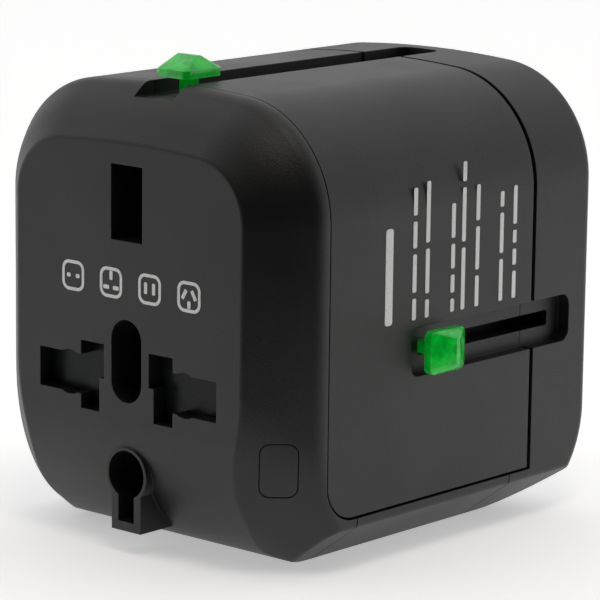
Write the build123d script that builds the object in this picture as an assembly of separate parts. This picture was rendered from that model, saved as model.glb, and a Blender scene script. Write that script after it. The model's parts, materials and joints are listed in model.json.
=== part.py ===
from build123d import *
import os
from math import sqrt

# Universal travel adapter. Millimetres, +Z up. X runs across the socket face, +Y points from the socket
# face (front) to the plug face (rear). The origin is under the middle of the body, on its flat base.

# ---------------------------------------------------------------- housing
HALF_W = 25.0
DEPTH = 58.4
HEIGHT = 56.4
FRONT = -DEPTH / 2
REAR = DEPTH / 2
WALL = 1.8
FACE_WALL = 2.0
CORNER_R = 14.0
CROWN_R = 150.0
BEVEL_TOP_Z = 5.4
SOLE_HALF_W = 17.6
SOLE_R = 13.0
SOLE_FRONT_RISE = 16.0
SHOULDER = 6.5
SHOULDER_BULGE = 0.6
# how the cheeks draw in at the bottom: distance behind the socket face, height where the side
# starts to curve in, how far it comes in, and over what height
CHEEKS = (
    (0.0, 22.0, 15.0, 20.0),
    (3.25, 20.0, 8.3, 16.0),
    (8.0, 13.0, 14.2, 12.5),
    (13.3, 11.0, 10.0, 12.0),
)
CHEEK_REACH = CHEEKS[-1][0]
SHOULDER_ROUND = 2.5
DOME_ROUND = 20.0
CREASE_ROUND = 0.8
REAR_ROUND = 1.6
FAR = 90.0
SNAP = 0.02

# seams between the four casings
FRONT_SEAM_Y = -21.2
REAR_SEAM_Y = 16.8
PANEL_LOW_Z = 6.8
PANEL_CORNER_R = 4.6
SOLE_FRONT_Y = -15.9
SOLE_REAR_Y = 13.2
THIN_GAP = 0.16
SIDE_GAP = 0.35
WIDE_GAP = 0.7
LIP_T = 1.0
LIP_PLAY = 0.1

# ---------------------------------------------------------------- sliders
SIDE_SLOT_Z = 24.9
SIDE_BUTTON_Y = -1.9
TOP_BUTTON_Y = -18.6
SHORT_TRAVEL = 23.0
LONG_TRAVEL = 39.0
CHANNEL_W = 6.0
CHANNEL_DEPTH = 1.7
SIDE_CHANNEL_Y = (-6.4, 24.7)
TOP_CHANNEL_W = 6.3
TOP_CHANNEL_DEPTH = 1.75
TOP_CHANNEL_Y = (-27.0, 25.3)
CHANNEL_END_R = 1.5
TRAY_WALL = 1.0
TRAY_FLOOR = 1.7
SLOT_W = 1.9
CAP_LONG = 6.4
CAP_WIDE = 5.2
CAP_BAND = 1.0
CAP_H = 2.6
CAP_RIDGE = 3.4
CAP_LIFT = 1.0
TOP_CAP_LIFT = 0.5
STEM_W = 1.45
STEM_LONG = 2.1
SLOT_PLAY = 0.2

# ---------------------------------------------------------------- socket face openings
LINE_Z = 21.0
UK_EARTH_Z = 42.7
UK_EARTH_SIZE = (5.1, 9.1)
UK_LINE_X = (7.6, 14.6)
UK_LINE_H = 4.88
EU_HOLE_X = 9.5
EU_HOLE_R = 2.75
FLAT_X = (4.5, 7.6)
FLAT_H = 8.4
FLAT_TOP_X = 3.7
OVAL_R = 2.48
OVAL_Z = (18.6, 28.7)
KEY_R = 2.92
KEY_Z = 9.8
KEY_SLOT_W = 2.6
KEY_LOW_Z = 3.94
KEY_RIM = 0.4
KEY_FOOT_HALF_W = 2.4
KEY_FOOT_Z = 2.8

# ---------------------------------------------------------------- plug side
PLUG_EARTH_Z = 43.2
UK_PIN_X = 11.1
UK_PIN = (6.3, 4.0)
UK_EARTH_PIN = (4.0, 8.0)
UK_PIN_OUT = 17.7
UK_EARTH_OUT = 22.7
EU_PIN_X = 9.5
EU_PIN_Z = 40.0
EU_PIN_R = 2.0
EU_NECK_R = 1.5
EU_PIN_OUT = 19.0
US_BLADE_X = 6.35
US_BLADE_Z = 11.2
US_BLADE = (1.5, 6.3)
US_BLADE_OUT = 17.5
US_TWIST = 30
COLLAR_R = 3.6
OUTLET_PLAY = 0.3
EU_FACE_Y = REAR - FACE_WALL - LONG_TRAVEL
EU_TIP_Y = REAR + EU_PIN_OUT - LONG_TRAVEL
UK_FACE_Y = REAR - FACE_WALL - SHORT_TRAVEL
US_FACE_Y = 2.0

# ---------------------------------------------------------------- inside
INNER_CLEAR = 0.3
BLOCK_Y = (-25.8, -6.5)
BLOCK_HALF_W = 17.0
BLOCK_Z = (2.6, 33.5)
SPINE_HALF_W = 3.2
TOWER_HALF_W = 4.3
TOWER_TOP_Z = 48.4
WELL_END_Y = -7.6
SHUTTER_Y = (-27.05, -25.95)
SHUTTER_X = (3.4, 15.0)
SHUTTER_Z = (16.3, 25.7)
SHUTTER_SPRING_X = 16.2
SHUTTER_SEAT_Z = 38.0
RAIL_X = (17.8, 18.8)
STRIP_X = (17.0, 17.8)
LOW_STRIP_Z = (13.6, 19.6)
HIGH_STRIP_Z = (36.0, 40.0)
STRIP_Y = (-3.9, 26.6)
WIPER_GAP = 0.06
FUSE_X = -16.5
FUSE_Z = 44.0
FUSE_Y = (-5.0, 15.0)
FUSE_R = 2.6
FRONT_SCREWS = ((-13.5, -11.0), (13.5, -11.0))
REAR_SCREWS = ((-13.5, 9.0), (13.5, 9.0))
BOSS_X = 12.5
BOSS_Z = 8.5

# release button on the right cheek, pressed along the cheek's inward normal
RELEASE_XY = (21.65, -26.05)
RELEASE_Z = 13.4
RELEASE_SIZE = (4.4, 6.5)
RELEASE_GAP = 0.12
RELEASE_BACK = 3.5
LATCH_SEAT_Z = 5.5
LATCH_LOW_Z = 9.5

# ---------------------------------------------------------------- casing details
OVERRUN = 1.0
LIP_REACH = 3.0
LIP_ROOT_END = 1.0
LIP_BITE = 0.2
LIP_LOW_Z = PANEL_LOW_Z + 2
RIM_REACH = 8.0
OPENING_REACH = 10.0
BOSS_R = 2.2
BOSS_Y = (FRONT + 1.0, -15.0)
PILOT_R = 0.85
PILOT_Y = (-22.0, -14.0)
RELEASE_ROOM = (9.0, 6.8, 1.6, 5.0)
RELEASE_HOLE_R = 1.3
RELEASE_HOLE_REACH = 4.0
BRIDGE_Y = (REAR_SEAM_Y + 0.08, REAR_SEAM_Y + 1.5)
BRIDGE_HALF_W = 5.0
RAIL_Y = (-13.0, 10.0)
RAIL_Z = (5.6, 9.0)
RAIL_ROOT_Z = 6.3
RAIL_BITE = 0.4
SCREW_SEAT = (2.0, 1.0)
SCREW_HOLE_R = 1.2
SCREW_HEAD = (0.75, 1.85, 0.45)
SCREW_SHANK = (3.2, 0.95, 4.8)
SCREW_DRIVE = (0.52, 2.2, 0.5, 0.3)
SLOT_END_R = 0.3
OUTLET_REACH = 8.0
SWING_STEPS = 4

# ---------------------------------------------------------------- socket block, shutters and contacts
SPINE_FRONT_Y = -27.1
EAR_X = (14.6, 17.2)
EAR_BACK_Y = -22.0
EAR_OVER = 1.2
SPRING_ROOM_X = (14.7, 17.3)
SPRING_ROOM_Y = -24.1
SPRING_ROOM_DROP = 5.0
LINE_ROOM = ((3.8, 16.0), (-24.3, -8.6), (16.2, 25.8))
MOUTH_END_Y = -24.0
TAIL_SLOT_X = (12.0, 15.0)
TAIL_SLOT_Z = (20.0, 22.0)
TAIL_SLOT_Y = -9.0
BOSS_ROOM = (2.3, -30.0, -14.9)
SCREW_ROOM = (1.05, -15.5, -6.0)
SCREW_HEAD_ROOM = (1.9, -8.0, -6.0)
LATCH_SEAT = ((16.9, 19.8), (-21.0, -18.4), (4.3, LATCH_SEAT_Z))
WELL_START_Y = -30.0
LUG_H = 2.5
LUG_X = 17.1
LUG_ARM_X = 14.9
LUG_BACK_Y = -24.3
LUG_OVER = 0.5
POST_OVER = 0.2
POST_RISE = 3.0
SMALL_COIL = (0.85, 0.16)
SHUTTER_SPRING_Y = -25.4
SHUTTER_TURNS = 6
CONTACT_BASE = ((4.6, 15.4), (-9.5, -8.7), (17.0, 25.0))
CONTACT_UPPER = ((5.0, 15.0), (-22.5, -9.0), (24.3, 24.9))
CONTACT_LOWER = ((5.0, 15.0), (-22.5, -9.0), (17.1, 17.7))
CONTACT_INNER = ((4.6, 5.2), (-20.5, -9.0), (18.6, 23.4))
CONTACT_TAIL = ((12.2, 14.8), (-9.0, -4.9), (20.4, 21.6))
BLOCK_SCREW_HEAD = (1.8, -8.0, -7.0)
BLOCK_SCREW_SHANK = (0.85, -21.0, -7.6)

# ---------------------------------------------------------------- guide frame and current path
FRAME_Y = (-6.3, 26.8)
FRAME_PLATE = ((-RAIL_X[1], RAIL_X[1]), (FRAME_Y[0], -5.1), (3.0, 35.4))
FRAME_TAILS = ((12.0, 15.0), (-7.0, -4.0), (20.0, 22.0))
FRAME_HEAD_ROOM = (1.9, -7.0, -4.0)
FRAME_WALL = (RAIL_X, FRAME_Y, (3.0, 40.6))
FRAME_SHELF = ((5.8, RAIL_X[1]), FRAME_Y, (34.2, 35.4))
FRAME_MIDDLE = ((-16.3, 16.3), FRAME_Y, (16.3, 17.3))
FRAME_FLOOR = ((-RAIL_X[1], RAIL_X[1]), (FRAME_Y[0], 24.0), (4.6, 5.8))
ARM_SLOT = ((-RAIL_X[1] - 1, -RAIL_X[0] + 1), (-4.5, 24.6), (22.6, 27.2))
FOOT_SLOT = ((RAIL_X[0] - 1, RAIL_X[1] + 1), (-4.5, 27.0), (6.4, 13.4))
CRADLE_WALL = 0.6
CRADLE_PLAY = 0.05
CRADLE_Y = (3.0, 6.0)
CRADLE_POST = ((-RAIL_X[1], -RAIL_X[0] + 0.4), CRADLE_Y, (40.0, 41.9))
STRAP_ROOM = ((-17.85, -16.95), (-5.0, -4.0), (33.0, 36.0))
LINK_ROOM = ((16.95, 17.85), (-5.0, -3.7), (33.0, 36.0))
REAR_ROOM = ((-17.85, -16.95), (25.1, 27.0), (33.0, 36.0))
FRAME_BOSS = (3.4, 2.2, 2.6)
FRAME_BORE = (4.0, 0.95, 8.0)
RISER_Y = (-4.9, -4.1)
RISER_Z = (20.2, 21.8)
RISER_X = 12.2
STRAP_TOP_Z = 41.4
LINK_Y = (-4.9, -3.8)
LIVE_LINK_Y = 25.2
LIVE_START_Y = -3.0
CLIP_WALL = 0.4
CLIP_RISE = 1.2
FRONT_CLIP_Y = (-4.1, -0.6)
FRONT_CLIP_FOOT = ((-17.8, -15.6), (-4.1, -3.4), (40.2, 41.6))
REAR_CLIP_Y = (10.8, 14.6)
REAR_CLIP_FOOT = ((-17.8, -16.2), (11.6, 13.8), (40.0, 41.6))
FUSE_CAP_T = 0.3
FUSE_CAP_LONG = 5.2
FUSE_END_T = 0.4
FUSE_BORE_R = FUSE_R - 0.75
FUSE_WIRE_R = 0.12

# ---------------------------------------------------------------- carriages
CAP_CORNER_R = 0.9
CAP_RIDGE_W = 0.5
CAP_RIDGE_R = 0.12
CAP_EDGE_R = 0.3
STEM_BITE = 0.2
TOP_STEM_H = 5.9
SIDE_STEM_H = 6.0
PIN_ROOM_REACH = 9.0
EU_SLEEVE_LONG = 12.0
EU_NOSE_R = 1.6
EU_ROOT_Y = -15.0
EU_BAR = ((-12.6, 12.6), (-21.0, EU_FACE_Y), (50.2, 52.2))
EU_LEG = ((6.5, 12.6), (-15.8, EU_FACE_Y), (35.6, 50.4))
EU_RIB = ((8.6, 10.4), (-20.0, -15.6), (44.0, 50.4))
EU_WIPER = (12.6, -15.4, -12.2, 36.6, 39.4)
WIPER_T = (0.5, 0.6)
UK_ROOT_Y = 1.5
UK_SLEEVE_LONG = 11.0
UK_SLEEVE_T = 0.5
UK_NOSE = 1.2
UK_WINGS = ((-15.0, 15.0), (0.7, UK_FACE_Y), (17.6, 27.4))
UK_LIP_LOW = ((-15.0, 15.0), (-3.4, 0.8), (17.6, 18.8))
UK_LIP_TOP = ((-15.0, 15.0), (-3.4, 0.8), (26.2, 27.4))
UK_NECK = ((-4.8, 4.8), (0.7, UK_FACE_Y), (27.3, 48.4))
UK_NECK_RIB = ((-0.9, 0.9), (-3.4, 0.8), (27.3, 47.0))
UK_ARM = ((-21.3, -12.0), (-3.4, 1.0), (23.2, 26.6))
UK_WIPER = (15.0, 1.2, 4.0, 17.8, 19.2)
US_CORE = ((-13.0, 13.0), (-3.4, US_FACE_Y), (6.6, 15.9))
US_FOOT = ((12.0, 21.3), (-3.4, US_FACE_Y), (7.2, 12.8))
US_RISER = ((19.2, 21.3), (-3.4, US_FACE_Y), (7.2, 26.6))
US_BORE_Y = -2.4
US_COLLAR_Y = -2.35
US_COLLAR_PLAY = 0.06
US_ROOT_Y = -1.5
US_NOSE = 0.6
US_WIPER = (13.0, -2.8, 0.0, 14.0, 15.6)

# ---------------------------------------------------------------- release and latch
RELEASE_R = 1.2
FLANGE_GROW = (0.6, 0.9)
FLANGE_R = 1.4
NUB = (0.7, 0.8, 0.1)
POCKET_GROW = (2.1, 2.2)
POCKET_REACH = 0.5
SPRING_WELL = (1.7, 1.3)
RELEASE_COIL = (1.15, 0.16, 0.9, 1.5)
LATCH_BAR = ((17.5, 19.6), (-20.6, -18.6), (LATCH_LOW_Z, 44.0))
LATCH_FOOT = ((17.5, 19.6), (-21.2, -18.6), (LATCH_LOW_Z, 18.5))
LATCH_HOOK = ((14.0, 17.6), (-20.6, -18.6), (41.0, 44.0))
LATCH_SPRING_XY = (18.6, -19.6)
LATCH_TURNS = 4


# ================================================================ helpers
def block(x, y, z):
    """Box between two limits on each axis."""
    size = [hi - lo for lo, hi in (x, y, z)]
    mid = [(hi + lo) / 2 for lo, hi in (x, y, z)]
    return Pos(*mid) * Box(*size)


def prism_x(face, lo, hi):
    """Push a YZ outline along X."""
    return extrude(Plane.YZ.offset(lo) * face, amount=hi - lo)


def prism_y(face, lo, hi):
    """Push an XZ outline along Y."""
    return extrude(Plane.XZ.offset(-lo) * face, amount=lo - hi)


def prism_z(face, lo, hi):
    """Push an XY outline along Z."""
    return extrude(Plane.XY.offset(lo) * face, amount=hi - lo)


def rod_y(x, z, r, lo, hi):
    """Round bar along Y."""
    return prism_y(Pos(x, z) * Circle(r), lo, hi)


def rounded(w, h, r):
    """Rounded rectangle outline."""
    return RectangleRounded(w, h, r)


def mirror_x(solid):
    """The same piece on the other side of the adapter."""
    return mirror(solid, about=Plane.YZ)


def ring(outer, inner):
    """Outline between two outlines."""
    return outer - inner


def helix_spring(radius, wire, length, turns):
    """Compression spring along +Z from z = 0, its wire inside the given length."""
    rise = length - 2 * wire
    path = Pos(0, 0, wire) * Helix(pitch=rise / turns, height=rise, radius=radius)
    start = Plane(origin=path @ 0, z_dir=path % 0)
    return sweep(start * Circle(wire), path=path)


# ================================================================ outer form
def crown_points(inset):
    """Tangent points of the top crown, the corner rounds and the straight sides."""
    centre_x = HALF_W - CORNER_R
    crown_z = HEIGHT - CROWN_R
    reach = sqrt((CROWN_R - CORNER_R) ** 2 - centre_x ** 2)
    ux = centre_x / (CROWN_R - CORNER_R)
    uz = reach / (CROWN_R - CORNER_R)
    crown_end = (ux * (CROWN_R - inset), crown_z + uz * (CROWN_R - inset))
    corner = Vector(centre_x, crown_z + reach)
    bend = Vector(1, 1).normalized() * (CORNER_R - inset)
    corner_mid = (corner.X + bend.X, corner.Y + bend.Y)
    side = (HALF_W - inset, corner.Y)
    return (0, HEIGHT - inset), crown_end, corner_mid, side


def hoop_face(inset, low_z):
    """Cross-section of sides and top, running straight down to low_z."""
    top, crown_end, corner_mid, side = crown_points(inset)
    flip = [(-x, z) for x, z in (crown_end, corner_mid, side)]
    edges = [
        ThreePointArc(flip[0], top, crown_end),
        ThreePointArc(crown_end, corner_mid, side),
        Line(side, (side[0], low_z)),
        Line((side[0], low_z), (-side[0], low_z)),
        Line((-side[0], low_z), flip[2]),
        ThreePointArc(flip[2], flip[1], flip[0]),
    ]
    return make_face(Wire(edges))


def base_cutter(inset):
    """Everything above the bevelled underside."""
    run = HALF_W - SOLE_HALF_W
    slope = sqrt(run ** 2 + BEVEL_TOP_Z ** 2)
    nx = -BEVEL_TOP_Z / slope * inset
    nz = run / slope * inset
    foot = SOLE_HALF_W + nx + (nz - inset) / BEVEL_TOP_Z * -run
    rise = BEVEL_TOP_Z / run
    far_x = HALF_W + SHOULDER
    far_z = inset + (far_x - foot) * rise
    pts = [(-far_x, far_z), (-foot, inset), (foot, inset), (far_x, far_z), (far_x, FAR), (-far_x, FAR)]
    return prism_y(make_face(Polyline(*pts, close=True)), -FAR, FAR)


def side_cutter(inset, front_inset):
    """Side view of the body: rounded where the front and rear faces meet the base."""
    edge = sqrt(0.5) * (SOLE_R - inset)
    y0 = FRONT + inset
    y1 = REAR - inset
    centre = (FRONT + SOLE_R, SOLE_FRONT_RISE)
    mid1 = (REAR - SOLE_R + edge, SOLE_R - edge)
    edges = [
        Line((y0, FAR), (y0, SOLE_FRONT_RISE)),
        EllipticalCenterArc(centre, SOLE_R - inset, SOLE_FRONT_RISE - inset, start_angle=180, arc_size=90),
        Line((FRONT + SOLE_R, inset), (REAR - SOLE_R, inset)),
        ThreePointArc((REAR - SOLE_R, inset), mid1, (y1, SOLE_R)),
        Line((y1, SOLE_R), (y1, FAR)),
        Line((y1, FAR), (y0, FAR)),
    ]
    solid = prism_x(make_face(Wire(edges)), -FAR, FAR)
    return solid & block((-FAR, FAR), (FRONT + front_inset, FAR), (-FAR, FAR))


def cheek_hoop(inset, y, high_z, draw, drop):
    """Cross-section of the shoulder at y: the hoop with its sides drawn in below high_z."""
    top, crown_end, corner_mid, side = crown_points(inset)
    flip = [(-x, z) for x, z in (crown_end, corner_mid, side)]
    centre_x = side[0] - draw
    low_z = high_z - drop
    edges = [
        ThreePointArc(flip[0], top, crown_end),
        ThreePointArc(crown_end, corner_mid, side),
        Line(side, (side[0], high_z)),
        EllipticalCenterArc((centre_x, high_z), draw, drop, start_angle=270, arc_size=90),
        Line((centre_x, low_z), (-centre_x, low_z)),
        EllipticalCenterArc((-centre_x, high_z), draw, drop, start_angle=180, arc_size=90),
        Line((-side[0], high_z), flip[2]),
        ThreePointArc(flip[2], flip[1], flip[0]),
    ]
    return Plane.XZ.offset(-y) * make_face(Wire(edges))


def shoulder_cutter(inset):
    """Ruled bands that give the slightly domed shoulder round the front face."""
    half = SHOULDER / 2
    start = SHOULDER + inset * sqrt(2)
    middle = start - half - SHOULDER_BULGE
    slope = (half - SHOULDER_BULGE) / half
    sections = []
    for reach, high_z, draw, drop in CHEEKS:
        step = middle - slope * (reach - half)
        if reach < half:
            step = start - reach / half * (start - middle)
        sections.append(cheek_hoop(step, FRONT + reach, high_z, draw, drop).face())
    cone = loft(sections, ruled=True)
    return cone + block((-FAR, FAR), (FRONT + CHEEK_REACH, FAR), (-FAR, FAR))


def body_form(inset, front_inset=0.0):
    """The adapter's outer form, or the same form inset all round."""
    solid = prism_y(hoop_face(inset, -SOLE_R), FRONT, REAR)
    solid = solid & base_cutter(inset)
    solid = solid & side_cutter(inset, front_inset)
    return solid & shoulder_cutter(inset)


def edges_between(solid, y_low, y_high, z_low):
    """Edges that lie between two distances behind the socket face and above z_low."""
    found = []
    for edge in solid.edges():
        box = edge.bounding_box()
        inside = box.min.Y - FRONT > y_low - SNAP and box.max.Y - FRONT < y_high + SNAP
        if inside and box.min.Z > z_low - SNAP:
            found.append(edge)
    return found


def crease_edges(solid):
    """Outline of the socket face and of the curve that runs under it."""
    face = solid.faces().sort_by(Axis.Y)[0]
    under = [f for f in solid.faces() if abs(f.center().X) < SNAP and f.center().Z < SOLE_FRONT_RISE]
    under = [f for f in under if FRONT + SNAP < f.center().Y < FRONT + SOLE_R]
    edges = [edge for f in [face] + under for edge in f.edges()]
    above = SOLE_FRONT_RISE + SNAP
    return [edge for edge in edges if abs(edge.center().X) > SNAP or edge.center().Z > above]


def soften_outer(solid):
    """Round the shoulder's outer edge, its middle line, the rear rim and the crease round the face."""
    solid = fillet(edges_between(solid, SHOULDER, CHEEK_REACH - 1, BEVEL_TOP_Z), SHOULDER_ROUND)
    solid = fillet(edges_between(solid, DEPTH, DEPTH, SOLE_R), REAR_ROUND)
    solid = fillet(edges_between(solid, SHOULDER / 2, SHOULDER / 2, 0), DOME_ROUND)
    return fillet(crease_edges(solid), CREASE_ROUND)


OUTER = soften_outer(body_form(0.0))
HOLLOW = body_form(WALL, FACE_WALL)
INSIDE = body_form(WALL + INNER_CLEAR, FACE_WALL)


# ================================================================ openings in the socket face
def line_opening():
    """Right-hand live or neutral opening: British slot, round pin and flat blade together."""
    lo, hi = UK_LINE_X
    slot = Pos((lo + hi) / 2, LINE_Z) * Rectangle(hi - lo, UK_LINE_H)
    hole = Pos(EU_HOLE_X, LINE_Z) * Circle(EU_HOLE_R)
    lo, hi = FLAT_X
    blade = Pos((lo + hi) / 2, LINE_Z) * Rectangle(hi - lo, FLAT_H)
    half = FLAT_H / 4
    shifted = Pos((FLAT_TOP_X + hi) / 2, LINE_Z + half) * Rectangle(hi - FLAT_TOP_X, FLAT_H / 2)
    return slot + hole + blade + shifted


def oval_opening():
    lo, hi = OVAL_Z
    return Pos(0, (lo + hi) / 2) * SlotOverall(hi - lo, 2 * OVAL_R, rotation=90)


def keyhole_opening():
    top = KEY_Z
    slot = Pos(0, (top + KEY_LOW_Z) / 2) * Rectangle(KEY_SLOT_W, top - KEY_LOW_Z)
    return Pos(0, KEY_Z) * Circle(KEY_R) + slot


def keyhole_rim():
    """Raised surround of the keyhole, standing on a narrow foot."""
    foot = Pos(0, (KEY_Z + KEY_FOOT_Z) / 2) * Rectangle(2 * KEY_FOOT_HALF_W, KEY_Z - KEY_FOOT_Z)
    return Pos(0, KEY_Z) * Circle(KEY_R + KEY_RIM) + foot


def earth_opening():
    return Pos(0, UK_EARTH_Z) * Rectangle(*UK_EARTH_SIZE)


def face_openings():
    side = line_opening()
    return side + mirror(side, about=Plane.YZ) + oval_opening() + keyhole_opening() + earth_opening()


# ================================================================ slider channels
def side_tray():
    """Right-hand slider channel: a tray let into the casing, with a slot through its floor."""
    y0, y1 = SIDE_CHANNEL_Y
    half = CHANNEL_W / 2 + TRAY_WALL
    floor_x = HALF_W - CHANNEL_DEPTH
    across = (SIDE_SLOT_Z - half, SIDE_SLOT_Z + half)
    return block((floor_x - TRAY_FLOOR, HALF_W + OVERRUN), (y0 - TRAY_WALL, y1 + TRAY_WALL), across) & OUTER


def side_recess():
    y0, y1 = SIDE_CHANNEL_Y
    floor_x = HALF_W - CHANNEL_DEPTH
    mid = ((y0 + y1) / 2, SIDE_SLOT_Z)
    shape = Pos(*mid) * rounded(y1 - y0, CHANNEL_W, CHANNEL_END_R)
    return prism_x(shape, floor_x, HALF_W + OVERRUN)


def side_slot():
    y0 = SIDE_BUTTON_Y - STEM_LONG / 2 - SLOT_PLAY
    y1 = SIDE_BUTTON_Y + SHORT_TRAVEL + STEM_LONG / 2 + SLOT_PLAY
    shape = Pos((y0 + y1) / 2, SIDE_SLOT_Z) * rounded(y1 - y0, SLOT_W, SLOT_END_R)
    return prism_x(shape, HALF_W - WALL - TRAY_FLOOR - OVERRUN, HALF_W + OVERRUN)


def top_tray():
    y0, y1 = TOP_CHANNEL_Y
    half = TOP_CHANNEL_W / 2 + TRAY_WALL
    floor_z = HEIGHT - TOP_CHANNEL_DEPTH
    upright = (floor_z - TRAY_FLOOR, HEIGHT + OVERRUN)
    return block((-half, half), (y0 - TRAY_WALL, y1 + TRAY_WALL), upright) & OUTER


def top_recess():
    y0, y1 = TOP_CHANNEL_Y
    floor_z = HEIGHT - TOP_CHANNEL_DEPTH
    shape = Pos(0, (y0 + y1) / 2) * rounded(TOP_CHANNEL_W, y1 - y0, CHANNEL_END_R)
    return prism_z(shape, floor_z, HEIGHT + OVERRUN)


def top_slot():
    y0 = TOP_BUTTON_Y - STEM_LONG / 2 - SLOT_PLAY
    y1 = TOP_BUTTON_Y + LONG_TRAVEL + STEM_LONG / 2 + SLOT_PLAY
    shape = Pos(0, (y0 + y1) / 2) * rounded(SLOT_W, y1 - y0, SLOT_END_R)
    return prism_z(shape, HEIGHT - TOP_CHANNEL_DEPTH - TRAY_FLOOR - OVERRUN, HEIGHT + OVERRUN)


def all_trays():
    side = side_tray()
    return side + mirror_x(side) + top_tray()


def channel_cuts():
    side = side_recess() + side_slot()
    return side + mirror_x(side) + top_recess() + top_slot()


# ================================================================ casings
def panel_zone(grow_front, grow_low, grow_rear):
    """Side view of the upper shell: everything between the front and rear seams."""
    y0 = FRONT_SEAM_Y - grow_front
    y1 = REAR_SEAM_Y + grow_rear
    z0 = PANEL_LOW_Z - grow_low
    r = PANEL_CORNER_R + grow_low
    bend = (y0 + r - r * sqrt(0.5), z0 + r - r * sqrt(0.5))
    edges = [
        Line((y0, FAR), (y0, z0 + r)),
        ThreePointArc((y0, z0 + r), bend, (y0 + r, z0)),
        Line((y0 + r, z0), (y1, z0)),
        Line((y1, z0), (y1, FAR)),
        Line((y1, FAR), (y0, FAR)),
    ]
    return prism_x(make_face(Wire(edges)), -FAR, FAR)


def lip_ring(inset, y0, y1):
    """Tongue inside a seam."""
    return prism_y(ring(hoop_face(inset, LIP_LOW_Z), hoop_face(inset + LIP_T, 0)), y0, y1)


TRAYS = all_trays()
CUTS = channel_cuts()
SHELL = (OUTER - HOLLOW) + TRAYS - CUTS
PANEL = panel_zone(0, 0, 0)
PANEL_GAP = panel_zone(THIN_GAP, SIDE_GAP, WIDE_GAP)


def tray_keepout():
    """Room that the seam tongues leave round the channels."""
    y0, y1 = SIDE_CHANNEL_Y
    half = CHANNEL_W / 2 + TRAY_WALL + LIP_PLAY
    reach = HALF_W - CHANNEL_DEPTH - TRAY_FLOOR - LIP_PLAY
    side = block((reach, HALF_W), (-FAR, FAR), (SIDE_SLOT_Z - half, SIDE_SLOT_Z + half))
    top_half = TOP_CHANNEL_W / 2 + TRAY_WALL + LIP_PLAY
    top_reach = HEIGHT - TOP_CHANNEL_DEPTH - TRAY_FLOOR - LIP_PLAY
    top = block((-top_half, top_half), (-FAR, FAR), (top_reach, FAR))
    return side + mirror_x(side) + top


KEEPOUT = tray_keepout()


def release_frame():
    """Plane on the right cheek, its local z pointing inwards."""
    return Plane(origin=(RELEASE_XY[0], RELEASE_XY[1], RELEASE_Z), x_dir=(0, 0, 1), z_dir=(-1, 1, 0))


def front_cover():
    zone = block((-FAR, FAR), (-FAR, SOLE_FRONT_Y), (-FAR, FAR))
    cover = (SHELL & zone) - PANEL_GAP
    lip_start = FRONT_SEAM_Y - LIP_REACH
    lip = lip_ring(WALL + LIP_PLAY, lip_start, FRONT_SEAM_Y + LIP_REACH) & INSIDE
    root = lip_ring(WALL - LIP_BITE, lip_start, FRONT_SEAM_Y - LIP_ROOT_END) & OUTER
    room_long, room_wide, room_r, room_deep = RELEASE_ROOM
    room = extrude(release_frame().offset(WALL) * rounded(room_long, room_wide, room_r), amount=room_deep)
    cover = cover + (lip + root - KEEPOUT - room)
    rim = prism_y(keyhole_rim(), FRONT, FRONT + RIM_REACH) - HOLLOW
    cover = cover + rim
    bosses = rod_y(BOSS_X, BOSS_Z, BOSS_R, *BOSS_Y) & OUTER
    cover = cover + bosses + mirror_x(bosses)
    pilots = rod_y(BOSS_X, BOSS_Z, PILOT_R, *PILOT_Y)
    cover = cover - pilots - mirror_x(pilots)
    cover = cover - prism_y(face_openings(), FRONT - OVERRUN, FRONT + OPENING_REACH)
    hole_size = [s + 2 * RELEASE_GAP for s in RELEASE_SIZE]
    outline = rounded(hole_size[1], hole_size[0], RELEASE_HOLE_R)
    hole = extrude(release_frame() * outline, amount=RELEASE_HOLE_REACH, both=True)
    return cover - hole


def upper_shell():
    return SHELL & PANEL


def rear_shell():
    zone = block((-FAR, FAR), (SOLE_REAR_Y + SIDE_GAP / 2, FAR), (-FAR, FAR))
    shell = (SHELL & zone) - PANEL_GAP
    lip = lip_ring(WALL + LIP_PLAY, REAR_SEAM_Y - LIP_REACH, REAR_SEAM_Y + LIP_REACH)
    root = lip_ring(WALL - LIP_BITE, REAR_SEAM_Y + WIDE_GAP + LIP_BITE, REAR_SEAM_Y + LIP_REACH)
    shell = shell + ((lip + root) - KEEPOUT)
    floor_top = HALF_W - CHANNEL_DEPTH
    bridge_side = block((floor_top - TRAY_FLOOR, floor_top), BRIDGE_Y, (0, FAR))
    floor_z = HEIGHT - TOP_CHANNEL_DEPTH
    bridge_top = block((-BRIDGE_HALF_W, BRIDGE_HALF_W), BRIDGE_Y, (floor_z - TRAY_FLOOR, floor_z))
    bridges = (TRAYS - CUTS) & (bridge_side + mirror_x(bridge_side) + bridge_top)
    shell = shell + bridges
    return shell - plug_outlets()


def bottom_cover():
    zone = block((-FAR, FAR), (SOLE_FRONT_Y + SIDE_GAP / 2, SOLE_REAR_Y), (-FAR, FAR))
    cover = (SHELL & zone) - PANEL_GAP
    outside = HALF_W - WALL - LIP_PLAY
    rail = block((outside - LIP_T, outside), RAIL_Y, RAIL_Z)
    root = block((outside - LIP_T, HALF_W - WALL + RAIL_BITE), RAIL_Y, (RAIL_Z[0], RAIL_ROOT_Z))
    rail = (rail + root) & OUTER
    cover = cover + rail + mirror_x(rail)
    for x, y in FRONT_SCREWS + REAR_SCREWS:
        cover = cover - Pos(x, y, 0) * Cylinder(SCREW_SEAT[0], 2 * SCREW_SEAT[1])
        cover = cover - Pos(x, y, 0) * Cylinder(SCREW_HOLE_R, OPENING_REACH)
    return cover


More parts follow.
